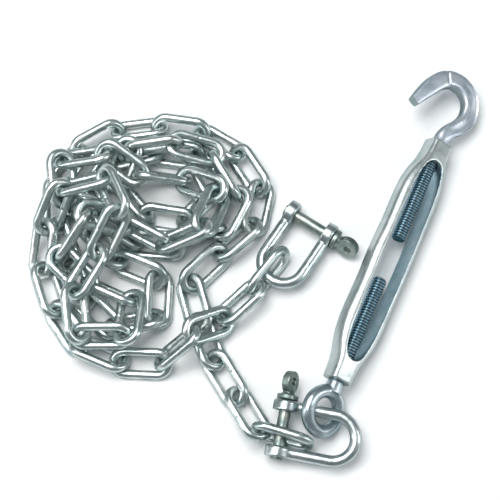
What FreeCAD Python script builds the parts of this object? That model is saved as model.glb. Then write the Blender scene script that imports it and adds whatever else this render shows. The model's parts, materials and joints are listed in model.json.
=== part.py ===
import FreeCAD, Part
import math
import os
from FreeCAD import Matrix, Placement, Rotation, Vector

# Load binder: a turnbuckle with a hook at one end and a coiled chain with two bow shackles at the other.
# World frame: floor at Z = 0, +Z up, the turnbuckle lies to +X of the heap with its hook towards +Y.

os.makedirs("parts", exist_ok=True)
doc = FreeCAD.newDocument("load_binder")

# ---------------------------------------------------------------- driving sizes, millimetres and degrees
SIZES = (
    ("datum_x", 5.084),
    ("datum_y", -12.328),
    ("frame_half", 92.0),
    ("slot_half", 76.2),
    ("mid_half_width", 16.6),
    ("mid_half_depth", 8.75),
    ("slot_half_width", 11.3),
    ("axis_height", 14.2),
    ("axis_turn", 66.0),
    ("frame_x", 94.1),
    ("frame_y", -10.9),
    ("frame_roll", 32.0),
    ("hook_roll", 20.0),
    ("eye_roll", 42.0),
    ("rod_radius", 5.0),
    ("rod_root", 4.25),
    ("rod_pitch", 1.954),
    ("rod_clearance", 0.07),
    ("shank_radius", 5.3),
    ("shank_gap", 0.3),
    ("hook_rod_start", 15.0),
    ("eye_rod_start", 15.6),
    ("hook_thickness", 10.2),
    ("eye_centre", 113.8),
    ("eye_radius", 13.2),
    ("eye_bar", 4.5),
    ("neck_radius", 6.4),
    ("bow_bar", 3.9),
    ("bow_leg", 15.0),
    ("bow_length", 48.5),
    ("ear_radius", 8.5),
    ("ear_width", 7.2),
    ("ear_chamfer", 1.2),
    ("pin_radius", 4.0),
    ("pin_clearance", 0.06),
    ("collar_radius", 7.0),
    ("collar_width", 3.0),
    ("tab_radius", 7.5),
    ("tab_thickness", 5.0),
    ("tab_hole", 2.5),
    ("pin_roll", 65.0),
    ("link_wire", 6.1),
    ("link_pitch", 31.0),
    ("link_width", 21.8),
    ("weld_rise", 0.2),
    ("weld_length", 2.4),
)
sheet = doc.addObject("Spreadsheet::Sheet", "Sizes")
for row, (alias, value) in enumerate(SIZES, 1):
    sheet.set("A%d" % row, alias)
    sheet.set("B%d" % row, str(value))
    sheet.setAlias("B%d" % row, alias)
doc.recompute()


def size(alias):
    return float(sheet.get(alias))


def bound(kind, name, base=None, turn=None, **formulas):
    """Adds an object whose properties follow the spreadsheet."""
    item = doc.addObject(kind, name)
    if turn:
        item.Placement = Placement(Vector(), Rotation(*turn))
    for prop, formula in formulas.items():
        item.setExpression(prop, formula)
    for axis, formula in zip("xyz", base or ()):
        item.setExpression("Placement.Base." + axis, formula)
    return item


def joined(name, *shapes):
    item = doc.addObject("Part::MultiFuse", name)
    item.Shapes = list(shapes)
    item.Refine = True
    return item


def cut(name, base, tool):
    item = doc.addObject("Part::Cut", name)
    item.Base = base
    item.Tool = tool
    return item


def wire(name, edge_or_wire):
    item = doc.addObject("Part::Feature", name)
    item.Shape = edge_or_wire
    return item


def rounded_ring(centre, across, along, half_a, half_b, power, count=16):
    """A closed smooth section with softly squared corners."""
    points = []
    for k in range(count):
        angle = 2 * math.pi * (k + 0.5) / count
        c = math.cos(angle)
        s = math.sin(angle)
        a = half_a * math.copysign(abs(c) ** (2 / power), c)
        b = half_b * math.copysign(abs(s) ** (2 / power), s)
        points.append(centre + across * a + along * b)
    curve = Part.BSplineCurve()
    curve.interpolate(points, PeriodicFlag=True)
    return Part.Wire([curve.toShape()])


def loft(name, rings):
    item = doc.addObject("Part::Loft", name)
    item.Sections = [wire("%s_section_%d" % (name, k), ring) for k, ring in enumerate(rings, 1)]
    item.Solid = True
    item.Ruled = False
    return item


X_AXIS = Vector(1, 0, 0)
Y_AXIS = Vector(0, 1, 0)
Z_AXIS = Vector(0, 0, 1)
Z_TO_X = (Y_AXIS, 90)
Z_TO_MINUS_X = (Y_AXIS, -90)
Z_TO_Y = (X_AXIS, -90)

# ---------------------------------------------------------------- turnbuckle frame
# Half width, half depth and squareness of the frame at distances from its middle.
frame_half = size("frame_half")
slot_half = size("slot_half")
MID_WIDTH = size("mid_half_width")
MID_DEPTH = size("mid_half_depth")
FRAME_STATIONS = (
    (frame_half, 7.9, 7.9, 5.0),
    (frame_half - 6.0, 8.2, 8.1, 5.0),
    (slot_half + 4.0, 8.8, 8.3, 4.6),
    (slot_half - 3.0, 10.6, 8.5, 4.0),
    (slot_half - 10.0, 13.2, 8.6, 3.4),
    (slot_half - 19.0, 15.3, MID_DEPTH, 3.1),
    (slot_half - 36.0, 16.2, MID_DEPTH, 3.0),
    (0.0, MID_WIDTH, MID_DEPTH, 3.0),
)
all_stations = FRAME_STATIONS + tuple((-x, w, d, p) for x, w, d, p in reversed(FRAME_STATIONS[:-1]))
frame_bar = loft(
    "frame_bar",
    [rounded_ring(Vector(x, 0, 0), Y_AXIS, Z_AXIS, w, d, p, 24) for x, w, d, p in all_stations],
)

# The slot narrows to an arch at each end; its sides bow out slightly.
SLOT_WIDTH = size("slot_half_width")
slot_quarter = (
    (slot_half, 0.0),
    (slot_half - 0.9, 3.4),
    (slot_half - 3.4, 6.0),
    (slot_half - 8.5, 8.0),
    (slot_half - 17.0, 9.6),
    (slot_half - 30.0, 10.5),
    (slot_half - 48.0, 11.0),
    (0.0, SLOT_WIDTH),
)
slot_points = [Vector(x, y, 0) for x, y in slot_quarter]
slot_points += [Vector(-x, y, 0) for x, y in slot_quarter[-2::-1]]
slot_points += [Vector(-x, -y, 0) for x, y in slot_quarter[1:]]
slot_points += [Vector(x, -y, 0) for x, y in slot_quarter[-2:0:-1]]
slot_curve = Part.BSplineCurve()
slot_curve.interpolate(slot_points, PeriodicFlag=True)
slot_outline = wire("slot_outline", Part.Wire([slot_curve.toShape()]))
slot_cutter = bound(
    "Part::Extrusion", "slot_cutter",
    LengthFwd="2 * Sizes.mid_half_depth", LengthRev="2 * Sizes.mid_half_depth",
)
slot_cutter.Base = slot_outline
slot_cutter.Dir = Z_AXIS
slot_cutter.Solid = True
frame_open = cut("frame_open", frame_bar, slot_cutter)
rod_bore = bound(
    "Part::Cylinder", "rod_bore", base=("-Sizes.frame_half - 1", "0", "0"), turn=Z_TO_X,
    Radius="Sizes.rod_radius + Sizes.rod_clearance", Height="2 * Sizes.frame_half + 2",
)
turnbuckle_form = cut("turnbuckle_form", frame_open, rod_bore)


# ---------------------------------------------------------------- threaded rods
def threaded_rod(name, start, stop):
    """A rod along +X with ring grooves at the thread's pitch, chamfered at its free end."""
    crest = size("rod_radius")
    root = size("rod_root")
    pitch = size("rod_pitch")
    count = int((stop - start) / pitch)
    outline = [Vector(start, 0, 0), Vector(start, 0, root - 0.5)]
    for k in range(count):
        x = start + pitch * k
        outline.append(Vector(x + 0.45 * pitch, 0, crest))
        outline.append(Vector(x + 0.60 * pitch, 0, crest))
        outline.append(Vector(x + 1.05 * pitch, 0, root))
    outline += [Vector(stop + pitch, 0, crest), Vector(stop + pitch, 0, 0), outline[0]]
    profile = wire(name + "_profile", Part.Face(Part.makePolygon(outline)))
    rod = doc.addObject("Part::Revolution", name)
    rod.Source = profile
    rod.Axis = X_AXIS
    rod.Base = Vector()
    rod.Angle = 360
    rod.Solid = True
    return rod


# ---------------------------------------------------------------- hook bolt
THREAD_STOP = 89.0
hook_rod = threaded_rod("hook_rod", size("hook_rod_start"), THREAD_STOP)
hook_shank = bound(
    "Part::Cylinder", "hook_shank", base=("Sizes.frame_half + Sizes.shank_gap", "0", "0"), turn=Z_TO_X,
    Radius="Sizes.shank_radius", Height="1.2",
)
hook_root = bound(
    "Part::Cylinder", "hook_root", base=("%s" % THREAD_STOP, "0", "0"), turn=Z_TO_X,
    Radius="Sizes.rod_radius", Height="Sizes.frame_half + Sizes.shank_gap + 1 - %s" % THREAD_STOP,
)
# Centre-line stations of the hook: distance past the boss, offset, heading, width, thickness share.
HOOK_STATIONS = (
    (1.0, 0.0, 0.0, 10.3, 1.0),
    (6.0, -0.9, -14.0, 10.7, 1.0),
    (11.8, -3.6, -30.0, 11.0, 1.0),
    (18.2, -8.4, -32.0, 11.7, 1.0),
    (26.2, -11.8, -12.0, 12.7, 1.0),
    (35.4, -10.8, 17.0, 12.1, 1.0),
    (42.4, -6.6, 47.0, 12.0, 1.0),
    (46.8, 1.0, 76.0, 12.1, 1.0),
    (47.0, 9.6, 108.0, 12.1, 1.0),
    (42.9, 16.4, 131.0, 12.9, 1.0),
    (35.8, 21.4, 144.0, 12.6, 0.98),
    (27.2, 25.4, 152.0, 10.4, 0.92),
    (17.8, 29.2, 156.0, 7.2, 0.82),
)
HOOK_POWER = 4.0
hook_rings = []
for x, y, heading, width, share in HOOK_STATIONS:
    side = Vector(-math.sin(math.radians(heading)), math.cos(math.radians(heading)), 0)
    centre = Vector(frame_half + size("shank_gap") + x, y, 0)
    power = 2.0 if x < 2 else HOOK_POWER
    hook_rings.append(rounded_ring(centre, side, Z_AXIS, width / 2, share * size("hook_thickness") / 2, power))
hook_curl = loft("hook_curl", hook_rings)
hook_form = joined("hook_form", hook_rod, hook_root, hook_shank, hook_curl)

# ---------------------------------------------------------------- eye bolt
eye_rod = threaded_rod("eye_rod", size("eye_rod_start"), THREAD_STOP)
eye_rod.Placement = Placement(Vector(), Rotation(Z_AXIS, 180))
eye_root = bound(
    "Part::Cylinder", "eye_root", base=("-%s" % THREAD_STOP, "0", "0"), turn=Z_TO_MINUS_X,
    Radius="Sizes.rod_radius", Height="Sizes.frame_half + Sizes.shank_gap + 1 - %s" % THREAD_STOP,
)
eye_neck = bound(
    "Part::Cone", "eye_neck", base=("-Sizes.frame_half - Sizes.shank_gap", "0", "0"), turn=Z_TO_MINUS_X,
    Radius1="Sizes.shank_radius", Radius2="Sizes.neck_radius",
    Height="Sizes.eye_centre - Sizes.eye_radius - Sizes.frame_half - Sizes.shank_gap",
)
eye_ring = bound(
    "Part::Torus", "eye_ring", base=("-Sizes.eye_centre", "0", "0"),
    Radius1="Sizes.eye_radius", Radius2="Sizes.eye_bar",
)
eye_form = joined("eye_form", eye_rod, eye_root, eye_neck, eye_ring)


# ---------------------------------------------------------------- shackles
def shackle_bow(name):
    """Bow along +X, pin axis along Y through the origin."""
    bend = bound(
        "Part::Torus", name + "_bend", base=("Sizes.bow_length - Sizes.bow_leg", "0", "0"),
        turn=(Z_AXIS, -90), Radius1="Sizes.bow_leg", Radius2="Sizes.bow_bar",
    )
    bend.Angle3 = 180
    parts = [bend]
    for side, sign in (("near", ""), ("far", "-")):
        parts.append(bound(
            "Part::Cylinder", "%s_%s_leg" % (name, side),
            base=("Sizes.ear_radius / 2", sign + "Sizes.bow_leg", "0"), turn=Z_TO_X,
            Radius="Sizes.bow_bar", Height="Sizes.bow_length - Sizes.bow_leg - Sizes.ear_radius / 2",
        ))
        ear = bound(
            "Part::Cylinder", "%s_%s_ear_blank" % (name, side),
            base=("0", sign + "Sizes.bow_leg - Sizes.ear_width / 2", "0"), turn=Z_TO_Y,
            Radius="Sizes.ear_radius", Height="Sizes.ear_width",
        )
        doc.recompute()
        eased = doc.addObject("Part::Chamfer", "%s_%s_ear" % (name, side))
        eased.Base = ear
        chamfer = size("ear_chamfer")
        eased.Edges = [(1, chamfer, chamfer), (3, chamfer, chamfer)]
        parts.append(eased)
    blank = joined(name + "_blank", *parts)
    bore = bound(
        "Part::Cylinder", name + "_bore",
        base=("0", "-Sizes.bow_leg - Sizes.ear_width", "0"), turn=Z_TO_Y,
        Radius="Sizes.pin_radius + Sizes.pin_clearance", Height="2 * (Sizes.bow_leg + Sizes.ear_width)",
    )
    return cut(name, blank, bore)


def shackle_pin(name):
    """Pin along +Y with a collar outside the near ear and a flat drilled tab beyond it."""
    ear_face = "(Sizes.bow_leg + Sizes.bow_bar)"
    shank = bound(
        "Part::Cylinder", name + "_shank", base=("0", "-%s - 1.2" % ear_face, "0"), turn=Z_TO_Y,
        Radius="Sizes.pin_radius", Height="2 * %s + 1.5" % ear_face,
    )
    collar = bound(
        "Part::Cylinder", name + "_collar", base=("0", "%s + 0.1" % ear_face, "0"), turn=Z_TO_Y,
        Radius="Sizes.collar_radius", Height="Sizes.collar_width",
    )
    neck = bound(
        "Part::Cone", name + "_neck", base=("0", "%s + Sizes.collar_width" % ear_face, "0"), turn=Z_TO_Y,
        Radius1="Sizes.pin_radius + 1", Radius2="Sizes.tab_thickness / 2", Height="4",
    )
    tab_y = "%s + Sizes.collar_width + Sizes.tab_radius + 1" % ear_face
    tab = bound(
        "Part::Cylinder", name + "_tab", base=("0", tab_y, "-Sizes.tab_thickness / 2"),
        Radius="Sizes.tab_radius", Height="Sizes.tab_thickness",
    )
    hole = bound(
        "Part::Cylinder", name + "_tab_hole", base=("0", tab_y + " + 0.8", "-Sizes.tab_thickness"),
        Radius="Sizes.tab_hole", Height="2 * Sizes.tab_thickness",
    )
    blank = joined(name + "_blank", shank, collar, neck, tab)
    return cut(name, blank, hole)


bow_form = shackle_bow("bow_form")
pin_form = shackle_pin("pin_form")

# ---------------------------------------------------------------- one chain link, long axis X, flat in XY
WIRE = size("link_wire")
PITCH = size("link_pitch")
CROWN = (size("link_width") - WIRE) / 2
STRAIGHT = (PITCH + WIRE) / 2 - CROWN
CROWN_F = "(Sizes.link_width - Sizes.link_wire) / 2"
STRAIGHT_F = "((Sizes.link_pitch + Sizes.link_wire) / 2 - %s)" % CROWN_F
link_parts = []
for end, sign, turn in (("head", "", -90), ("tail", "-", 90)):
    crown = bound(
        "Part::Torus", "link_" + end, base=(sign + STRAIGHT_F, "0", "0"), turn=(Z_AXIS, turn),
        Radius1=CROWN_F, Radius2="Sizes.link_wire / 2",
    )
    crown.Angle3 = 180
    link_parts.append(crown)
for flank, sign in (("left", ""), ("right", "-")):
    link_parts.append(bound(
        "Part::Cylinder", "link_" + flank, base=("-" + STRAIGHT_F, sign + CROWN_F, "0"), turn=Z_TO_X,
        Radius="Sizes.link_wire / 2", Height="2 * " + STRAIGHT_F,
    ))
link_parts.append(bound(
    "Part::Cylinder", "link_weld", base=("-Sizes.weld_length / 2", "-" + CROWN_F, "0"), turn=Z_TO_X,
    Radius="Sizes.link_wire / 2 + Sizes.weld_rise", Height="Sizes.weld_length",
))
link_master = joined("link_master", *link_parts)
doc.recompute()

# ---------------------------------------------------------------- laying the chain
# The chain is laid by hand along a route, then settled under its own weight: every link, both shackles
# and the eye are rigid thick rings that push apart where they touch and rest on the floor.


class Ring:
    """A rigid piece seen as a thick closed line; place is centre, long axis and flat normal."""

    def __init__(self, line, radius, place, fixed=False, stands=None):
        self.line = line
        self.radius = radius
        self.place = list(place)
        self.fixed = fixed
        self.stands = stands or [radius] * len(line)
        self.span = max(math.hypot(*corner) for corner in line)
        self.inertia = (self.span * 0.7) ** 2
        self.last_z = 1e9
        self.drop = None
        self.refresh()

    def refresh(self):
        px, py, pz, ux, uy, uz, nx, ny, nz = self.place
        wx = ny * uz - nz * uy
        wy = nz * ux - nx * uz
        wz = nx * uy - ny * ux
        self.ring = [
            (px + a * ux + b * wx, py + a * uy + b * wy, pz + a * uz + b * wz) for a, b in self.line
        ]
        self.sides = []
        for p, q in zip(self.ring, self.ring[1:] + self.ring[:1]):
            middle = ((p[0] + q[0]) / 2, (p[1] + q[1]) / 2, (p[2] + q[2]) / 2)
            self.sides.append((p, q, middle, math.dist(p, q) / 2))

    def push(self, point, shove):
        """Moves the piece as if this point on it were shoved."""
        place = self.place
        vx, vy, vz = shove
        length = vx * vx + vy * vy + vz * vz
        if self.fixed or length < 1e-14:
            return
        rx = point[0] - place[0]
        ry = point[1] - place[1]
        rz = point[2] - place[2]
        cx = ry * vz - rz * vy
        cy = rz * vx - rx * vz
        cz = rx * vy - ry * vx
        share = 1.0 / (1.0 + (cx * cx + cy * cy + cz * cz) / (length * self.inertia))
        place[0] += vx * share
        place[1] += vy * share
        place[2] += vz * share
        share /= self.inertia
        self.turn(cx * share, cy * share, cz * share)

    def turn(self, tx, ty, tz):
        ux, uy, uz, nx, ny, nz = self.place[3:9]
        ux, uy, uz = ux + ty * uz - tz * uy, uy + tz * ux - tx * uz, uz + tx * uy - ty * ux
        nx, ny, nz = nx + ty * nz - tz * ny, ny + tz * nx - tx * nz, nz + tx * ny - ty * nx
        scale = 1 / math.sqrt(ux * ux + uy * uy + uz * uz)
        ux *= scale
        uy *= scale
        uz *= scale
        lean = ux * nx + uy * ny + uz * nz
        nx -= lean * ux
        ny -= lean * uy
        nz -= lean * uz
        scale = 1 / math.sqrt(nx * nx + ny * ny + nz * nz)
        self.place[3:9] = [ux, uy, uz, nx * scale, ny * scale, nz * scale]

    def fall(self, step):
        """A free piece falls a full step; one that something holds up presses only lightly."""
        if self.drop is None:
            self.drop = step
        moved = self.last_z - self.place[2]
        self.drop = step if moved > 0.5 * self.drop else max(step * 0.15, self.drop * 0.7)
        self.last_z = self.place[2]
        self.place[2] -= self.drop

    def placement(self):
        px, py, pz, ux, uy, uz, nx, ny, nz = self.place
        wx = ny * uz - nz * uy
        wy = nz * ux - nx * uz
        wz = nx * uy - ny * ux
        px -= size("datum_x")
        py -= size("datum_y")
        return Placement(Matrix(ux, wx, nx, px, uy, wy, ny, py, uz, wz, nz, pz, 0, 0, 0, 1))


def nearest(p1, q1, p2, q2):
    """Nearest point of side 1, and the gap vector from side 2 to it."""
    ax = q1[0] - p1[0]
    ay = q1[1] - p1[1]
    az = q1[2] - p1[2]
    bx = q2[0] - p2[0]
    by = q2[1] - p2[1]
    bz = q2[2] - p2[2]
    rx = p1[0] - p2[0]
    ry = p1[1] - p2[1]
    rz = p1[2] - p2[2]
    aa = ax * ax + ay * ay + az * az
    bb = bx * bx + by * by + bz * bz
    br = bx * rx + by * ry + bz * rz
    ar = ax * rx + ay * ry + az * rz
    ab = ax * bx + ay * by + az * bz
    spread = aa * bb - ab * ab
    s = 0.5 if spread < 1e-9 else min(1.0, max(0.0, (ab * br - ar * bb) / spread))
    t = (ab * s + br) / bb
    if t < 0.0:
        t = 0.0
        s = min(1.0, max(0.0, -ar / aa))
    elif t > 1.0:
        t = 1.0
        s = min(1.0, max(0.0, (ab - ar) / aa))
    x = p1[0] + s * ax
    y = p1[1] + s * ay
    z = p1[2] + s * az
    return x, y, z, x - (p2[0] + t * bx), y - (p2[1] + t * by), z - (p2[2] + t * bz)


def touching(a, b, limit):
    """Every pair of sides of two pieces that are closer than the limit."""
    near_b = [side for side in b.sides if math.dist(side[2], a.place[:3]) < a.span + limit + side[3]]
    found = []
    if not near_b:
        return found
    for p1, q1, mid1, half1 in a.sides:
        if math.dist(mid1, b.place[:3]) > b.span + limit + half1:
            continue
        for p2, q2, mid2, half2 in near_b:
            if math.dist(mid1, mid2) > limit + half1 + half2:
                continue
            x, y, z, ex, ey, ez = nearest(p1, q1, p2, q2)
            apart = math.sqrt(ex * ex + ey * ey + ez * ez)
            if apart < limit:
                found.append((x, y, z, ex, ey, ez, apart))
    return found


def part_pair(a, b, gap):
    """Pushes two pieces apart where they come closer than the gap."""
    limit = a.radius + b.radius + gap
    found = touching(a, b, limit)
    if not found:
        return
    share = 1.0 / math.sqrt(len(found))
    if not (a.fixed or b.fixed):
        share *= 0.5
    for x, y, z, ex, ey, ez, apart in found:
        k = min(limit - apart, MAX_PUSH) * share / max(apart, 1e-6)
        a.push((x, y, z), (ex * k, ey * k, ez * k))
        b.push((x - ex, y - ey, z - ez), (-ex * k, -ey * k, -ez * k))
    a.refresh()
    b.refresh()


def tether(a, b, eye, slack):
    """Keeps the facing ends of two neighbouring links together."""
    end_a = [a.place[i] + eye * a.place[3 + i] for i in range(3)]
    end_b = [b.place[i] - eye * b.place[3 + i] for i in range(3)]
    apart = math.dist(end_a, end_b)
    if apart > slack:
        k = 0.5 * (apart - slack) / apart
        pull = [(q - p) * k for p, q in zip(end_a, end_b)]
        a.push(end_a, pull)
        b.push(end_b, [-v for v in pull])


def rest_on_floor(piece):
    piece.refresh()
    low = [(corner, stand) for corner, stand in zip(piece.ring, piece.stands) if corner[2] < stand]
    for corner, stand in low:
        piece.push(corner, (0.0, 0.0, (stand - corner[2]) / math.sqrt(len(low))))
    if low:
        piece.refresh()


def settle(pieces, chain, eye, slack, steps, gap, fall, hold):
    home = [(piece.place[0], piece.place[1]) for piece in pieces]
    near = []
    for step in range(steps):
        if step % NEAR_EVERY == 0:
            near = [
                (a, b) for i, a in enumerate(pieces) for b in pieces[i + 1:]
                if not (a.fixed and b.fixed)
                and math.dist(a.place[:3], b.place[:3]) < a.span + b.span + a.radius + b.radius + 5
            ]
        for piece, (home_x, home_y) in zip(pieces, home):
            if not piece.fixed:
                piece.fall(fall)
                piece.place[0] += hold * (home_x - piece.place[0])
                piece.place[1] += hold * (home_y - piece.place[1])
                piece.refresh()
        for a, b in near:
            part_pair(a, b, gap)
        for a, b in zip(chain, chain[1:]):
            tether(a, b, eye, slack)
        for piece in pieces:
            rest_on_floor(piece)


def smooth(route, per=24):
    """A smooth path through the route's points."""
    path = []
    last = len(route) - 1
    for i in range(last):
        a = route[max(i - 1, 0)]
        b = route[i]
        c = route[i + 1]
        d = route[min(i + 2, last)]
        for k in range(per):
            t = k / per
            path.append([
                0.5 * (2 * q + (r - p) * t + (2 * p - 5 * q + 4 * r - s) * t * t + (3 * q - 3 * r + s - p) * t ** 3)
                for p, q, r, s in zip(a, b, c, d)
            ])
    path.append(list(route[-1]))
    return path


def string_links(route, chord):
    """One link per chord of the path, each rolled a quarter turn from the one before."""
    path = smooth(route)
    joints = [path[0]]
    for point in path:
        last = joints[-1]
        gone = math.dist(point[:3], last[:3])
        if gone >= chord:
            joints.append([last[i] + (point[i] - last[i]) * chord / gone for i in range(4)])
    places = []
    for i, (a, b) in enumerate(zip(joints, joints[1:])):
        u = Vector(*b[:3]) - Vector(*a[:3])
        u.normalize()
        side = Vector(-u.y, u.x, 0)
        side.normalize()
        up = u.cross(side)
        roll = math.radians((a[3] + b[3]) / 2 + 90 * (i % 2))
        normal = up * math.cos(roll) + side * math.sin(roll)
        centre = [(p + q) / 2 for p, q in zip(a[:3], b[:3])]
        places.append([*centre, *u, *normal])
    return places


def facing(azimuth, pitch, roll):
    """Long axis and flat normal of a piece; roll raises its left side."""
    az = math.radians(azimuth)
    p = math.radians(pitch)
    r = math.radians(roll)
    u = Vector(math.cos(p) * math.cos(az), math.cos(p) * math.sin(az), math.sin(p))
    side = Vector(-math.sin(az), math.cos(az), 0)
    normal = u.cross(side) * math.cos(r) - side * math.sin(r)
    return u, normal


def link_line(arc_parts=6):
    line = []
    for end in (1, -1):
        for k in range(arc_parts + 1):
            angle = math.radians(-90 + 180 * k / arc_parts)
            radius = CROWN * (1.017 if 0 < k < arc_parts else 1.0)
            line.append((end * (STRAIGHT + radius * math.cos(angle)), end * radius * math.sin(angle)))
    return line


def bow_ring(pin, azimuth, pitch, roll):
    """A shackle as a ring: bow and pin. Its centre is BOW_MIDDLE past the pin."""
    u, normal = facing(azimuth, pitch, roll)
    centre = Vector(*pin) + u * BOW_MIDDLE
    leg = size("bow_leg")
    line = [(-BOW_MIDDLE, -leg)]
    for k in range(7):
        angle = math.radians(-90 + 30 * k)
        x = size("bow_length") - leg - BOW_MIDDLE + leg * math.cos(angle)
        line.append((x, leg * math.sin(angle)))
    line.append((-BOW_MIDDLE, leg))
    bar = size("bow_bar")
    ear = size("ear_radius")
    return Ring(line, bar, [*centre, *u, *normal], stands=[ear] + [bar] * 7 + [ear])


def eye_as_ring(centre):
    u, normal = facing(size("axis_turn"), 0, size("eye_roll"))
    radius = 1.01 * size("eye_radius")
    line = [(radius * math.cos(math.radians(a)), radius * math.sin(math.radians(a))) for a in range(0, 360, 15)]
    return Ring(line, size("eye_bar"), [*centre, *u, *normal], fixed=True)


MAX_PUSH = 1.2
NEAR_EVERY = 6
BOW_MIDDLE = 20.0
CHORD = 29.4
GAP = 0.5
SLACK = 3.0
HOLD = 0.006

# Route of the chain, whole millimetres: x, y, height it is laid at, lean in degrees.
ROUTE = (
    # from shackle A along the floor, then clockwise round the outside
    (38, -138, 11, 90), (1, -122, 9, 80), (-9, -96, 9, 60), (-26, -74, 9, 45), (-39, -47, 9, 60),
    (-43, -20, 9, 80), (-34, -1, 9, 45), (-15, 6, 9, 45), (1, 20, 9, 45), (7, 41, 9, 45),
    (-3, 62, 9, 45), (-22, 76, 9, 45), (-46, 84, 9, 45), (-70, 87, 9, 45), (-93, 83, 9, 45),
    (-115, 75, 9, 45), (-131, 60, 9, 45), (-140, 42, 9, 45), (-139, 20, 9, 45), (-132, -1, 9, 45),
    # the small loop at the lower left
    (-121, -21, 9, 45), (-106, -40, 9, 45), (-88, -54, 9, 45), (-69, -55, 9, 45), (-57, -40, 9, 45),
    (-62, -20, 9, 45), (-82, -7, 9, 45), (-102, -1, 9, 45), (-118, 13, 9, 45), (-120, 33, 9, 45),
    # the inner coil on the floor
    (-109, 53, 9, 45), (-87, 63, 9, 45), (-63, 66, 9, 45), (-39, 61, 9, 45), (-22, 45, 9, 45),
    (-29, 26, 9, 45), (-51, 20, 9, 45), (-74, 25, 12, 45), (-94, 35, 22, 45),
    # the second layer
    (-97, 55, 34, 45), (-80, 70, 36, 45), (-57, 70, 36, 45), (-33, 61, 36, 45), (-14, 45, 36, 45),
    (-8, 22, 36, 45), (-23, 2, 36, 45), (-46, -4, 36, 45), (-69, -3, 36, 45), (-92, 3, 36, 45),
    (-113, 14, 36, 45), (-127, 32, 36, 45), (-124, 54, 42, 45),
    # the third layer, twice across the middle and through the lower left
    (-105, 63, 54, 70), (-86, 46, 58, 70), (-63, 37, 58, 70), (-36, 38, 58, 30), (-14, 24, 60, 70),
    (-29, 3, 60, 70), (-54, 8, 60, 70), (-78, 13, 60, 70), (-99, 3, 60, 70), (-117, -13, 58, 70),
    (-122, -34, 58, 70), (-102, -40, 60, 70), (-82, -29, 62, 70), (-67, -45, 62, 70), (-61, -68, 64, 70),
    # the top strand, up the left side and back down it
    (-85, -72, 68, 70), (-106, -60, 76, 70), (-115, -38, 84, 70), (-113, -14, 86, 70), (-106, 10, 86, 70),
    (-100, 33, 86, 70), (-122, 44, 84, 70), (-125, 31, 82, 70), (-124, 8, 80, 70), (-130, -14, 66, 70),
    # down to the floor, across the first strand and on to shackle B
    (-136, -35, 30, 45), (-125, -53, 10, 45), (-101, -68, 9, 45), (-75, -79, 9, 45), (-49, -80, 17, 45),
    (-29, -68, 27, 45), (-13, -46, 20, 35), (8, -20, 12, 28), (29, 4, 10, 28),
)
links = [Ring(link_line(), WIRE / 2, place) for place in string_links(ROUTE, CHORD)]
bow_a = bow_ring((21.6, -118.8, 11.0), -15, 14, 18)
bow_b = bow_ring((39.8, 13.7, 9.0), 233.3, 2, 5)
eye_place = (47.5, -114.8, 14.3)
pieces = links + [bow_a, bow_b, eye_as_ring(eye_place)]
for stage in range(9):
    settle(pieces, links, PITCH / 2, SLACK, 55, GAP, 0.2, HOLD)
settle(pieces, links, PITCH / 2, SLACK, 55, GAP, 0.03, HOLD)
settle(pieces, links, PITCH / 2, SLACK + 1, 240, GAP, 0.0, 0.0)

# ---------------------------------------------------------------- placing and naming the separate pieces
nodes = []


def place_node(name, item, placement):
    """One exported piece: a placed copy of its own finished shape, or of the shared link."""
    node = doc.addObject("Part::Feature", name + "_placed")
    node.Label = name
    node.Shape = item.Shape.copy()
    node.Placement = placement
    nodes.append(node)


def axis_placement(roll):
    turn = Rotation(Z_AXIS, size("axis_turn")).multiply(Rotation(X_AXIS, roll))
    x = size("frame_x") - size("datum_x")
    y = size("frame_y") - size("datum_y")
    return Placement(Vector(x, y, size("axis_height")), turn)


def bow_placement(ring):
    placement = ring.placement()
    back = placement.Rotation.multVec(Vector(-BOW_MIDDLE, 0, 0))
    return Placement(placement.Base + back, placement.Rotation)


def pin_placement(ring):
    """The pin lies where the bow's ears are, rolled about itself so that its tab leans."""
    placement = bow_placement(ring)
    return Placement(placement.Base, placement.Rotation.multiply(Rotation(Y_AXIS, size("pin_roll"))))


doc.recompute()
place_node("turnbuckle_body", turnbuckle_form, axis_placement(size("frame_roll")))
place_node("hook_bolt", hook_form, axis_placement(size("hook_roll")))
place_node("eye_bolt", eye_form, axis_placement(size("eye_roll")))
place_node("shackle_a_bow", bow_form, bow_placement(bow_a))
place_node("shackle_a_pin", pin_form, pin_placement(bow_a))
place_node("shackle_b_bow", bow_form, bow_placement(bow_b))
place_node("shackle_b_pin", pin_form, pin_placement(bow_b))
LOOSE_A = 3
LOOSE_B = 2
GROUP = 3
for k in range(LOOSE_A):
    place_node("end_a_link_%d" % (k + 1), link_master, links[k].placement())
for k in range(LOOSE_B):
    place_node("end_b_link_%d" % (k + 1), link_master, links[len(links) - 1 - k].placement())
heap = links[LOOSE_A:len(links) - LOOSE_B]
for k in range(0, len(heap), GROUP):
    copies = []
    for ring in heap[k:k + GROUP]:
        one = link_master.Shape.copy()
        one.Placement = ring.placement()
        copies.append(one)
    node = doc.addObject("Part::Feature", "heap_%02d_placed" % (k // GROUP + 1))
    node.Label = "heap_%02d" % (k // GROUP + 1)
    node.Shape = Part.makeCompound(copies)
    nodes.append(node)

# ---------------------------------------------------------------- checks and export
doc.recompute()
for item in doc.Objects:
    if "Invalid" in item.State or "Error" in item.State:
        raise RuntimeError("%s did not compute" % item.Label)
for node in nodes:
    if node.Shape.isNull() or not node.Shape.isValid():
        raise RuntimeError("%s has no valid shape" % node.Label)
    node.Shape.exportStep("parts/%s.step" % node.Label)
print("links %d, pieces %d" % (len(links), len(nodes)))
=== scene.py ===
"""Load binder: turnbuckle with hook and eye, heaped link chain and two bow shackles."""
import json
import math

import bmesh
import bpy
import numpy as np
from mathutils import Matrix, Vector


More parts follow.
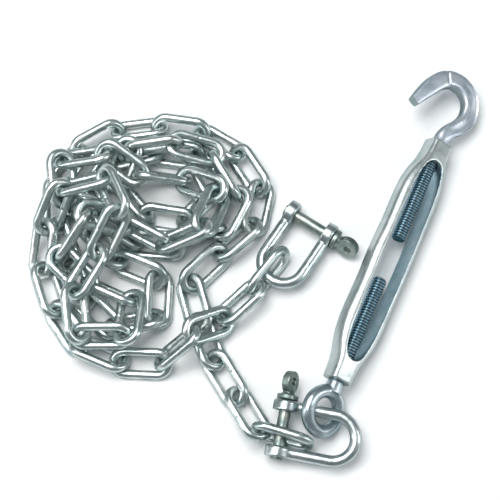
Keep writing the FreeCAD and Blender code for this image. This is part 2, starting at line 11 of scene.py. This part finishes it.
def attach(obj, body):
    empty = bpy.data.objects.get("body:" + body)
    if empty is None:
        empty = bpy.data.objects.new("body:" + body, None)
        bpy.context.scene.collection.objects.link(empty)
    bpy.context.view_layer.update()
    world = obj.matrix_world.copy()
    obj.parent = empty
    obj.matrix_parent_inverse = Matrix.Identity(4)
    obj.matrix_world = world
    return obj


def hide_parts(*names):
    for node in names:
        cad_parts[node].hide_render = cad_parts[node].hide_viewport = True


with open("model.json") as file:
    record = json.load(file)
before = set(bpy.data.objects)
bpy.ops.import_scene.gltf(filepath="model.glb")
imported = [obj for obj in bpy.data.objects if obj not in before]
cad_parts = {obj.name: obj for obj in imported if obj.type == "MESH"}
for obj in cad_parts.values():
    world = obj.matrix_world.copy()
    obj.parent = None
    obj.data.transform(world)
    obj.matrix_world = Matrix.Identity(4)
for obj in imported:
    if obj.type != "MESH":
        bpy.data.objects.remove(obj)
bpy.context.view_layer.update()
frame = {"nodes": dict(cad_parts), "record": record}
MM = 0.001

# Sizes from the CAD model, millimetres.
DATUM = Vector((5.084, -12.328, 0.0))
TURN_CENTRE = Vector((94.1, -10.9, 14.2)) - DATUM
TURN_AZIMUTH = 66.0
FRAME_ROLL, HOOK_ROLL, EYE_ROLL = 32.0, 20.0, 42.0
WIRE = 3.05
LINK_PITCH, LINK_WIDTH = 31.0, 21.8
CROWN = (LINK_WIDTH - 2 * WIRE) / 2
STRAIGHT = (LINK_PITCH + 2 * WIRE) / 2 - CROWN
ROD, ROOT, THREAD_PITCH = 5.0, 4.25, 1.954
SLOT_HALF, FRAME_HALF = 76.2, 92.0
SHANK_GAP = 0.3
EDGE_TINT = (0.36, 0.43, 0.43, 1)


def joint_body(node):
    """The CAD body that holds this node."""
    for body, members in frame["record"]["behaviour"]["bodies"].items():
        if node in members:
            return body
    return None


# ---------------------------------------------------------------- camera, lights, floor
def rad(*degrees):
    return tuple(math.radians(v) for v in degrees)


camera_data = bpy.data.cameras.new("camera")
camera = bpy.data.objects.new("camera", camera_data)
bpy.context.scene.collection.objects.link(camera)
ELEVATION, DISTANCE = 72.0, 862.5
LENS, SENSOR = 90.0, 36.0
camera_data.lens = LENS
camera_data.sensor_width = SENSOR
aim = -DATUM
height_angle = math.radians(ELEVATION)
offset = Vector((0, -math.cos(height_angle), math.sin(height_angle))) * DISTANCE
camera.location = (aim + offset) * MM
camera.rotation_euler = rad(90 - ELEVATION, 0, 0)
camera_data.clip_start, camera_data.clip_end = 0.05, 20.0
bpy.context.scene.camera = camera


def softbox(name, place, width, height, power):
    """A soft rectangle of light that faces the object."""
    data = bpy.data.lights.new(name, "AREA")
    data.shape = "RECTANGLE"
    data.size, data.size_y = width, height
    data.energy = power
    lamp = bpy.data.objects.new(name, data)
    lamp.location = place
    lamp.rotation_euler = (-Vector(place)).to_track_quat("-Z", "Y").to_euler()
    bpy.context.scene.collection.objects.link(lamp)


softbox("overhead", (-0.3, 0.2, 1.2), 0.95, 0.75, 15.0)
softbox("right_strip", (0.95, -0.15, 0.6), 0.15, 0.9, 3.0)
softbox("left_strip", (-0.95, -0.2, 0.55), 0.15, 0.8, 2.5)

world = bpy.data.worlds.new("studio")
bpy.context.scene.world = world
world.use_nodes = True
world.node_tree.nodes["Background"].inputs[0].default_value = (0.3, 0.34, 0.35, 1)
world.node_tree.nodes["Background"].inputs[1].default_value = 0.72
bpy.context.scene.view_settings.view_transform = "Standard"
bpy.context.scene.view_settings.look = "None"


# ---------------------------------------------------------------- materials
class Shade:
    """A small helper that builds one node material."""

    def __init__(self, name):
        self.material = bpy.data.materials.new(name)
        self.material.use_nodes = True
        self.tree = self.material.node_tree
        self.shader = self.tree.nodes["Principled BSDF"]
        self.coords = self.tree.nodes.new("ShaderNodeTexCoord")

    def link(self, a, b):
        self.tree.links.new(a, b)

    def noise(self, scale, detail=4.0, rough=0.55, distort=0.0):
        node = self.tree.nodes.new("ShaderNodeTexNoise")
        node.inputs["Scale"].default_value = scale
        node.inputs["Detail"].default_value = detail
        node.inputs["Roughness"].default_value = rough
        node.inputs["Distortion"].default_value = distort
        self.link(self.coords.outputs["Object"], node.inputs["Vector"])
        return node.outputs["Fac"]

    def ramp(self, source, stops):
        node = self.tree.nodes.new("ShaderNodeValToRGB")
        ramp = node.color_ramp
        while len(ramp.elements) < len(stops):
            ramp.elements.new(0.5)
        for element, (place, colour) in zip(ramp.elements, stops):
            element.position = place
            element.color = (*colour, 1)
        self.link(source, node.inputs["Fac"])
        return node.outputs["Color"]

    def mix(self, factor, a, b, how="MIX"):
        node = self.tree.nodes.new("ShaderNodeMix")
        node.data_type = "RGBA"
        node.blend_type = how
        if isinstance(factor, (int, float)):
            node.inputs[0].default_value = factor
        else:
            self.link(factor, node.inputs[0])
        for socket, value in ((node.inputs[6], a), (node.inputs[7], b)):
            if isinstance(value, tuple):
                socket.default_value = (*value, 1)
            else:
                self.link(value, socket)
        return node.outputs[2]

    def spread(self, source, low, high):
        node = self.tree.nodes.new("ShaderNodeMapRange")
        node.inputs["To Min"].default_value = low
        node.inputs["To Max"].default_value = high
        self.link(source, node.inputs["Value"])
        return node.outputs["Result"]

    def turned_axes(self, output, place, roll=FRAME_ROLL):
        """A coordinate output turned into a turnbuckle piece's own axes, split into three."""
        turned = self.tree.nodes.new("ShaderNodeMapping")
        turned.vector_type = "TEXTURE"
        turned.inputs["Location"].default_value = place
        turned.inputs["Rotation"].default_value = rad(roll, 0, TURN_AZIMUTH)
        self.link(self.coords.outputs[output], turned.inputs["Vector"])
        axes = self.tree.nodes.new("ShaderNodeSeparateXYZ")
        self.link(turned.outputs["Vector"], axes.inputs["Vector"])
        return axes.outputs

    def maths(self, how, a, b=None):
        node = self.tree.nodes.new("ShaderNodeMath")
        node.operation = how
        self.link(a, node.inputs[0])
        if b is not None:
            self.link(b, node.inputs[1])
        return node.outputs["Value"]

    def fade(self, source, start, end):
        """Nought at start, one at end."""
        node = self.tree.nodes.new("ShaderNodeMapRange")
        node.inputs["From Min"].default_value = start
        node.inputs["From Max"].default_value = end
        self.link(source, node.inputs["Value"])
        return node.outputs["Result"]

    def slot_wall_painted_shade(self):
        """One on the slot's long walls, which face the rods: the mask of their darker, bluer
        painted shade and painted reflection.
        """
        place = self.turned_axes("Object", TURN_CENTRE * MM)
        facing = self.turned_axes("Normal", (0, 0, 0))
        inward = self.maths("MULTIPLY", self.maths("SIGN", place["Y"]), facing["Y"])
        along = self.maths("ABSOLUTE", place["X"])
        return self.maths(
            "MULTIPLY",
            self.fade(inward, -0.4, -0.75),
            self.fade(along, (SLOT_HALF + 1) * MM, (SLOT_HALF - 4) * MM),
        )

    def flank(self, roll):
        """One on a forging's flanks, which stand across its flat faces: the mask of the painted
        shade laid on them.
        """
        facing = self.turned_axes("Normal", (0, 0, 0), roll)
        return self.fade(self.maths("ABSOLUTE", facing["Z"]), 0.6, 0.2)

    def thread_root_painted_shade(self):
        """One at the bottom of a rod's thread, nought on its crests: the mask of the painted shade
        in the thread roots.
        """
        place = self.turned_axes("Object", TURN_CENTRE * MM)
        squares = [self.maths("MULTIPLY", place[axis], place[axis]) for axis in ("Y", "Z")]
        away = self.maths("SQRT", self.maths("ADD", *squares))
        return self.fade(away, (ROD - 0.12) * MM, (ROOT + 0.1) * MM)

    def bump(self, source, strength, distance, below=None):
        node = self.tree.nodes.new("ShaderNodeBump")
        node.inputs["Strength"].default_value = strength
        node.inputs["Distance"].default_value = distance
        self.link(source, node.inputs["Height"])
        if below is not None:
            self.link(below, node.inputs["Normal"])
        return node.outputs["Normal"]


SPECK_SCALE, POLISH_SCALE, DENT_SCALE, GRAIN_SCALE, WALL_SCALE = 900.0, 160.0, 240.0, 2600.0, 110.0
DENT_DEPTH, GRAIN_DEPTH = 0.0006, 0.00012


def zinc(
    name, light, shade, tint, rough, grain=1.0, blotch=70.0, wall_painted_shade=None, groove=None, flank=None,
):
    """Plated steel: cloudy plating, faint colour passivation, fine grain, soft dents and optional
    painted shade.
    """
    m = Shade(name)
    cloud = m.noise(blotch, 5.0, 0.6, 0.4)
    base = m.ramp(cloud, [(0.3, shade), (0.5, light), (0.68, tint)])
    if wall_painted_shade is not None:
        # Painted shade and painted reflection: the slot's inner walls take a darker, bluer colour.
        wall = m.ramp(m.noise(WALL_SCALE, 5.0, 0.65), [(0.3, wall_painted_shade[0]), (0.7, wall_painted_shade[1])])
        base = m.mix(m.slot_wall_painted_shade(), base, wall)
    # Painted shade: the flanks take a dark colour, darker than the flat faces.
    if flank is not None:
        base = m.mix(m.flank(HOOK_ROLL), base, flank)
    # Painted shade: the thread roots take a near-black colour.
    if groove is not None:
        base = m.mix(m.thread_root_painted_shade(), base, groove)
    speck = m.noise(SPECK_SCALE, 3.0, 0.7)
    dark = m.ramp(speck, [(0.28, (0.45, 0.45, 0.44)), (0.42, (1, 1, 1))])
    colour = m.mix(0.35, base, dark, "MULTIPLY")
    m.link(colour, m.shader.inputs["Base Color"])
    m.shader.inputs["Metallic"].default_value = 1.0
    m.shader.inputs["Specular Tint"].default_value = EDGE_TINT
    polish = m.spread(m.noise(POLISH_SCALE, 5.0, 0.65), rough - 0.1, rough + 0.14)
    m.link(polish, m.shader.inputs["Roughness"])
    soft = m.bump(m.noise(DENT_SCALE, 2.0, 0.5), 0.22 * grain, DENT_DEPTH)
    fine = m.bump(m.noise(GRAIN_SCALE, 4.0, 0.6), 0.16 * grain, GRAIN_DEPTH, soft)
    m.link(fine, m.shader.inputs["Normal"])
    return m.material


MATERIALS = {
    "chain_zinc": zinc(
        "chain_zinc", light=(0.6, 0.665, 0.66), shade=(0.4, 0.485, 0.485), tint=(0.69, 0.72, 0.705),
        rough=0.28,
    ),
    # The body's wall colours are painted shade and painted reflection on the slot's inner walls.
    "body_zinc": zinc(
        "body_zinc", light=(0.61, 0.665, 0.665), shade=(0.47, 0.54, 0.54), tint=(0.7, 0.73, 0.73),
        rough=0.33, blotch=45.0, wall_painted_shade=((0.28, 0.42, 0.48), (0.46, 0.57, 0.62)),
    ),
    # The hook's flank colour is a painted shade on its flanks.
    "hook_zinc": zinc(
        "hook_zinc", light=(0.66, 0.71, 0.78), shade=(0.52, 0.59, 0.67), tint=(0.75, 0.79, 0.84),
        rough=0.4, grain=1.4, blotch=60.0, flank=(0.3, 0.36, 0.37),
    ),
    # The rod's groove colour is a painted shade in the thread roots.
    "rod_zinc": zinc(
        "rod_zinc", light=(0.4, 0.55, 0.63), shade=(0.3, 0.44, 0.52), tint=(0.5, 0.64, 0.7),
        rough=0.3, grain=0.3, groove=(0.07, 0.15, 0.2),
    ),
    "eye_zinc": zinc(
        "eye_zinc", light=(0.5, 0.575, 0.61), shade=(0.37, 0.45, 0.49), tint=(0.6, 0.66, 0.68),
        rough=0.3,
    ),
    "shackle_zinc": zinc(
        "shackle_zinc", light=(0.52, 0.58, 0.59), shade=(0.36, 0.43, 0.44), tint=(0.6, 0.64, 0.64),
        rough=0.28, grain=1.3,
    ),
    "pin_steel": zinc(
        "pin_steel", light=(0.3, 0.36, 0.34), shade=(0.12, 0.16, 0.145), tint=(0.42, 0.44, 0.39),
        rough=0.38, grain=1.8, blotch=120.0,
    ),
}


# ---------------------------------------------------------------- mesh helpers
def new_piece(name, verts, faces, slot):
    """A smooth mesh, given in millimetres, with its material."""
    mesh = bpy.data.meshes.new(name)
    mesh.from_pydata([tuple(c * MM for c in v) for v in verts], [], faces)
    mesh.validate()
    mesh.update()
    work = bmesh.new()
    work.from_mesh(mesh)
    bmesh.ops.recalc_face_normals(work, faces=work.faces)
    work.to_mesh(mesh)
    work.free()
    piece = bpy.data.objects.new(name, mesh)
    bpy.context.scene.collection.objects.link(piece)
    for polygon in mesh.polygons:
        polygon.use_smooth = True
    mesh.materials.append(MATERIALS[slot])
    return piece


def tube(rings):
    """Faces that join a list of equal rings end to end, closed with a cap at both ends."""
    verts = [tuple(p) for ring in rings for p in ring]
    count = len(rings[0])
    faces = []
    for k in range(len(rings) - 1):
        for j in range(count):
            a = k * count + j
            b = k * count + (j + 1) % count
            faces.append((a, b, b + count, a + count))
    faces.append(tuple(range(count))[::-1])
    faces.append(tuple(range((len(rings) - 1) * count, len(rings) * count)))
    return verts, faces


def loop_tube(rings):
    """As tube, but the last ring joins the first."""
    verts = [tuple(p) for ring in rings for p in ring]
    count = len(rings[0])
    total = len(rings)
    faces = []
    for k in range(total):
        for j in range(count):
            a = k * count + j
            b = k * count + (j + 1) % count
            c = ((k + 1) % total) * count + (j + 1) % count
            d = ((k + 1) % total) * count + j
            faces.append((a, b, c, d))
    return verts, faces


def merged(parts):
    """Several (corners, faces) as one."""
    verts, faces = [], []
    for some_verts, some_faces in parts:
        start = len(verts)
        verts.extend(some_verts)
        faces.extend(tuple(i + start for i in face) for face in some_faces)
    return verts, faces


def placed(part, matrix):
    """The same (corners, faces) moved by a matrix."""
    verts, faces = part
    return [tuple(matrix @ Vector(v)) for v in verts], faces


def axis_matrix(roll):
    """From a turnbuckle piece's own axes to where it lies."""
    return (
        Matrix.Translation(TURN_CENTRE)
        @ Matrix.Rotation(math.radians(TURN_AZIMUTH), 4, "Z")
        @ Matrix.Rotation(math.radians(roll), 4, "X")
    )


# ---------------------------------------------------------------- reading where the CAD pieces lie
def shells(node):
    """The separate closed shells of a CAD node, each as (corners, triangles) in millimetres."""
    source = frame["nodes"][node].data
    work = bmesh.new()
    work.from_mesh(source)
    bmesh.ops.remove_doubles(work, verts=work.verts, dist=1e-6)
    bmesh.ops.triangulate(work, faces=work.faces)
    work.verts.ensure_lookup_table()
    left = set(range(len(work.verts)))
    found = []
    while left:
        stack = [min(left)]
        members = set(stack)
        while stack:
            for edge in work.verts[stack.pop()].link_edges:
                for vert in edge.verts:
                    if vert.index not in members:
                        members.add(vert.index)
                        stack.append(vert.index)
        left -= members
        order = {index: k for k, index in enumerate(sorted(members))}
        corners = np.array([work.verts[i].co for i in sorted(members)]) / MM
        triangles = np.array([
            [order[v.index] for v in face.verts]
            for face in work.faces if face.verts[0].index in members
        ])
        found.append((corners, triangles))
    work.free()
    return found


def rest_frame(corners, triangles):
    """Surface centroid and principal axes, longest first."""
    a, b, c = (corners[triangles[:, k]] for k in range(3))
    area = np.linalg.norm(np.cross(b - a, c - a), axis=1) / 2
    centre = ((a + b + c) / 3 * area[:, None]).sum(0) / area.sum()
    spread = np.zeros((3, 3))
    for p in ((a + b) / 2, (b + c) / 2, (c + a) / 2):
        d = p - centre
        spread += (d[:, :, None] * d[:, None, :] * area[:, None, None] / 3).sum(0)
    _, axes = np.linalg.eigh(spread)
    axes = axes[:, ::-1].T
    axes = [v * (1 if v[np.argmax(np.abs(v))] > 0 else -1) for v in axes]
    return centre, axes


# ---------------------------------------------------------------- chain links
SIDES, BEND_STEPS, FLANK_STEPS = 16, 12, 20
CROWN_WEAR = 0.012
BEAD, GROOVE, NECK = 0.14, 0.24, 0.18
BEAD_PLACE, BEAD_SPREAD, GROOVE_SPREAD, NECK_SPREAD = 0.95, 0.75, 0.35, 3.2


def link_part(centre, long_axis, normal, seed):
    """One welded link: bent round wire, a weld bead on one flank, a little wear in the crowns."""
    u = Vector(long_axis).normalized()
    n = Vector(normal).normalized()
    w = n.cross(u)
    wobble = np.random.RandomState(seed)
    flank = 1 if wobble.rand() < 0.5 else -1
    swell = 0.9 + 0.3 * wobble.rand()
    path = []
    for end in (1, -1):
        for k in range(BEND_STEPS + 1):
            angle = math.radians(-90 + 180 * k / BEND_STEPS)
            x = end * (STRAIGHT + CROWN * math.cos(angle))
            y = end * CROWN * math.sin(angle)
            tangent = Vector((-end * math.sin(angle), end * math.cos(angle), 0))
            path.append((x, y, tangent, abs(math.cos(angle))))
        for k in range(1, FLANK_STEPS):
            x = end * STRAIGHT * (1 - 2 * k / FLANK_STEPS)
            path.append((x, end * CROWN, Vector((-end, 0, 0)), 0.0))
    rings = []
    for x, y, tangent, bend in path:
        side = Vector((tangent.y, -tangent.x, 0))
        radius = WIRE * (1 - CROWN_WEAR * bend)
        if bend == 0 and y * flank > 0:
            bead = math.exp(-((abs(x) - BEAD_PLACE) / BEAD_SPREAD) ** 2) * BEAD * swell
            groove = math.exp(-(x / GROOVE_SPREAD) ** 2) * GROOVE
            neck = math.exp(-(x / NECK_SPREAD) ** 2) * NECK
            radius += bead - groove - neck
        ring = []
        for j in range(SIDES):
            a = 2 * math.pi * j / SIDES
            across = math.cos(a) * radius
            up = math.sin(a) * radius
            p = Vector((x, y, 0)) + side * across + Vector((0, 0, up))
            ring.append(Vector(centre) + u * p.x + w * p.y + n * p.z)
        rings.append(ring)
    return loop_tube(rings)


LINK_NAMES = ("heap_", "end_a_link", "end_b_link")
link_nodes = sorted(n for n in frame["nodes"] if n.startswith(LINK_NAMES))
link_number = 0
for node in link_nodes:
    parts = []
    for corners, triangles in shells(node):
        centre, axes = rest_frame(corners, triangles)
        link_number += 1
        parts.append(link_part(centre, axes[0], axes[2], link_number))
    piece = new_piece("chain_" + node, *merged(parts), "chain_zinc")
    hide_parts(node)
    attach(piece, joint_body(node))


# ---------------------------------------------------------------- forged pieces, edges rounded
def skinned(piece, voxel, rounds):
    """One even skin over the whole piece, then softened so that edges and joins are rounded."""
    skin = piece.modifiers.new("skin", "REMESH")
    skin.mode = "VOXEL"
    skin.voxel_size = voxel * MM
    skin.use_smooth_shade = True
    soft = piece.modifiers.new("soft", "SMOOTH")
    soft.factor = 0.5
    soft.iterations = rounds


def finish(piece, node):
    """Hides the piece's CAD node and attaches the piece to that node's body."""
    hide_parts(node)
    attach(piece, joint_body(node))


def forged(name, node, slot, voxel, rounds, keep=None):
    """The CAD node's surface with every edge eased; keep is (point, direction) of a cut."""
    work = bmesh.new()
    work.from_mesh(frame["nodes"][node].data)
    bmesh.ops.remove_doubles(work, verts=work.verts, dist=1e-6)
    if keep is not None:
        point, direction = keep
        geometry = work.verts[:] + work.edges[:] + work.faces[:]
        bmesh.ops.bisect_plane(
            work, geom=geometry, plane_co=point * MM, plane_no=direction, clear_outer=True,
        )
        bmesh.ops.holes_fill(work, edges=[e for e in work.edges if e.is_boundary])
    mesh = bpy.data.meshes.new(name)
    work.to_mesh(mesh)
    work.free()
    piece = bpy.data.objects.new(name, mesh)
    bpy.context.scene.collection.objects.link(piece)
    mesh.materials.append(MATERIALS[slot])
    skinned(piece, voxel, rounds)
    finish(piece, node)


forged("body_forging", "turnbuckle_body", "body_zinc", 0.5, 8)
for side in ("a", "b"):
    forged("bow_" + side, "shackle_%s_bow" % side, "shackle_zinc", 0.4, 16)
    forged("pin_" + side, "shackle_%s_pin" % side, "pin_steel", 0.3, 9)

# ---------------------------------------------------------------- rods, hook and eye
HOOK_ROD_START, EYE_ROD_START, THREAD_STOP = 15.0, 15.6, 89.0
ROD_SIDES, RINGS_PER_TURN = 48, 12
ROD_OVERLAP, TIP_DEPTH, TIP_SLOPE, PLAIN_EASE = 0.8, 0.5, 0.9, 0.05


def threaded(start):
    """A rod along +X with a true helical thread and a chamfered free end, up to the boss face."""
    rings = []
    end = FRAME_HALF + SHANK_GAP + ROD_OVERLAP
    count = int((end - start) / THREAD_PITCH * RINGS_PER_TURN)
    for k in range(count + 1):
        x = start + (end - start) * k / count
        ring = []
        for j in range(ROD_SIDES):
            angle = 2 * math.pi * j / ROD_SIDES
            phase = (x / THREAD_PITCH - j / ROD_SIDES) % 1.0
            crest = 0.5 + 0.5 * math.cos(2 * math.pi * phase)
            radius = ROOT + (ROD - ROOT) * crest
            if x > THREAD_STOP:
                radius = ROD - PLAIN_EASE
            radius = min(radius, ROOT - TIP_DEPTH + (x - start) * TIP_SLOPE)
            ring.append((x, radius * math.cos(angle), radius * math.sin(angle)))
        rings.append(ring)
    return tube(rings)


# Stations of the hook: distance past the boss, offset, heading, width, thickness share, web depth.
HOOK_STATIONS = (
    (0.0, 0.0, 0.0, 10.5, 1.02, 0.0),
    (1.0, 0.0, 0.0, 10.5, 1.02, 0.0),
    (6.0, -0.9, -14.0, 10.7, 1.0, 0.0),
    (11.8, -3.6, -30.0, 11.0, 1.0, 0.3),
    (18.2, -8.4, -32.0, 11.7, 1.0, 1.5),
    (26.2, -11.8, -12.0, 12.7, 1.0, 2.9),
    (35.4, -10.8, 17.0, 12.1, 1.0, 3.0),
    (42.4, -6.6, 47.0, 12.0, 1.0, 1.9),
    (46.8, 1.0, 76.0, 12.1, 1.0, 0.4),
    (47.0, 9.6, 108.0, 12.1, 1.0, 0.0),
    (42.9, 16.4, 131.0, 12.9, 1.0, 0.0),
    (35.8, 21.4, 144.0, 12.6, 0.98, 0.0),
    (27.2, 25.4, 152.0, 10.4, 0.92, 0.0),
    (17.8, 29.2, 156.0, 7.2, 0.82, 0.0),
)
HOOK_THICKNESS, HOOK_EASE = 10.2, 0.99
HOOK_STEPS, HOOK_SIDES = 12, 64
CREASE_STATION, CREASE_DEPTH, CREASE_SPREAD = 9.55, 0.75, 0.11


def between(stations, steps):
    """Smooth in-between stations."""
    found = []
    last = len(stations) - 1
    for i in range(last):
        a, b, c, d = (stations[max(0, min(last, i + k))] for k in (-1, 0, 1, 2))
        for k in range(steps):
            t = k / steps
            found.append((i + t, [
                0.5 * (
                    2 * q + (r - p) * t + (2 * p - 5 * q + 4 * r - s) * t * t
                    + (3 * q - 3 * r + s - p) * t ** 3
                )
                for p, q, r, s in zip(a, b, c, d)
            ]))
    found.append((last, list(stations[-1])))
    return found


# The web's edge across the hook, how sharply it starts, and the rim left along its outer side.
WEB_EDGE, WEB_SHARPNESS, RIM_EDGE, RIM_SHARPNESS = 0.1, 22, -0.86, 30


def hook_curl():
    """The hook: round at the shank, then square-shouldered, with a web and a crease."""
    rings = []
    for index, (x, y, heading, width, share, web) in between(HOOK_STATIONS, HOOK_STEPS):
        turn = math.radians(heading)
        side = Vector((-math.sin(turn), math.cos(turn), 0))
        power = 2.0 + 2.4 * min(1.0, max(0.0, (index - 1.5) / 1.5))
        crease = CREASE_DEPTH * math.exp(-((index - CREASE_STATION) / CREASE_SPREAD) ** 2)
        ring = []
        for j in range(HOOK_SIDES):
            angle = 2 * math.pi * j / HOOK_SIDES
            c, s = math.cos(angle), math.sin(angle)
            across = math.copysign(abs(c) ** (2 / power), c)
            up = math.copysign(abs(s) ** (2 / power), s)
            panel = 1 / (1 + math.exp((across - WEB_EDGE) * WEB_SHARPNESS))
            rim = 1 / (1 + math.exp((RIM_EDGE - across) * RIM_SHARPNESS))
            height = share * HOOK_THICKNESS / 2
            height -= min(web * panel * (0.35 + 0.65 * rim), height - 1)
            height -= crease
            centre = Vector((FRAME_HALF + SHANK_GAP + x, y, 0))
            reach = side * (across * width / 2) + Vector((0, 0, up * height))
            ring.append(centre + reach * HOOK_EASE)
        rings.append(ring)
    return tube(rings)


def own_piece(name, parts, node, slot, roll, sharp=40):
    """A turnbuckle piece, with edges steeper than sharp left crisp."""
    piece = new_piece(name, *placed(merged(parts), axis_matrix(roll)), slot)
    piece.data.set_sharp_from_angle(angle=math.radians(sharp))
    finish(piece, node)


def flipped(part):
    """Turned end for end, for the rod on the eye's side."""
    return placed(part, Matrix.Rotation(math.pi, 4, "Z"))


own_piece("hook_curl", [hook_curl()], "hook_bolt", "hook_zinc", HOOK_ROLL)
own_piece("hook_thread", [threaded(HOOK_ROD_START)], "hook_bolt", "rod_zinc", HOOK_ROLL, 100)
own_piece("eye_thread", [flipped(threaded(EYE_ROD_START))], "eye_bolt", "rod_zinc", EYE_ROLL, 100)
eye_cut = axis_matrix(EYE_ROLL) @ Vector((-FRAME_HALF, 0, 0))
rod_direction = axis_matrix(0).to_3x3() @ Vector((1, 0, 0))
forged("eye_ring", "eye_bolt", "eye_zinc", 0.45, 8, (eye_cut, rod_direction))

# ---------------------------------------------------------------- floor
floor_mesh = bpy.data.meshes.new("floor")
FLOOR = 6
corners = [(-FLOOR, -FLOOR, 0), (FLOOR, -FLOOR, 0), (FLOOR, FLOOR, 0), (-FLOOR, FLOOR, 0)]
floor_mesh.from_pydata(corners, [], [(0, 1, 2, 3)])
floor = bpy.data.objects.new("floor", floor_mesh)
bpy.context.scene.collection.objects.link(floor)
paper = Shade("floor_paper")
paper_stops = [(0.2, (0.9, 0.91, 0.92)), (0.8, (0.95, 0.955, 0.96))]
paper_tone = paper.ramp(paper.noise(3.0, 3.0), paper_stops)
paper.link(paper_tone, paper.shader.inputs["Base Color"])
paper.shader.inputs["Roughness"].default_value = 0.75
floor_mesh.materials.append(paper.material)
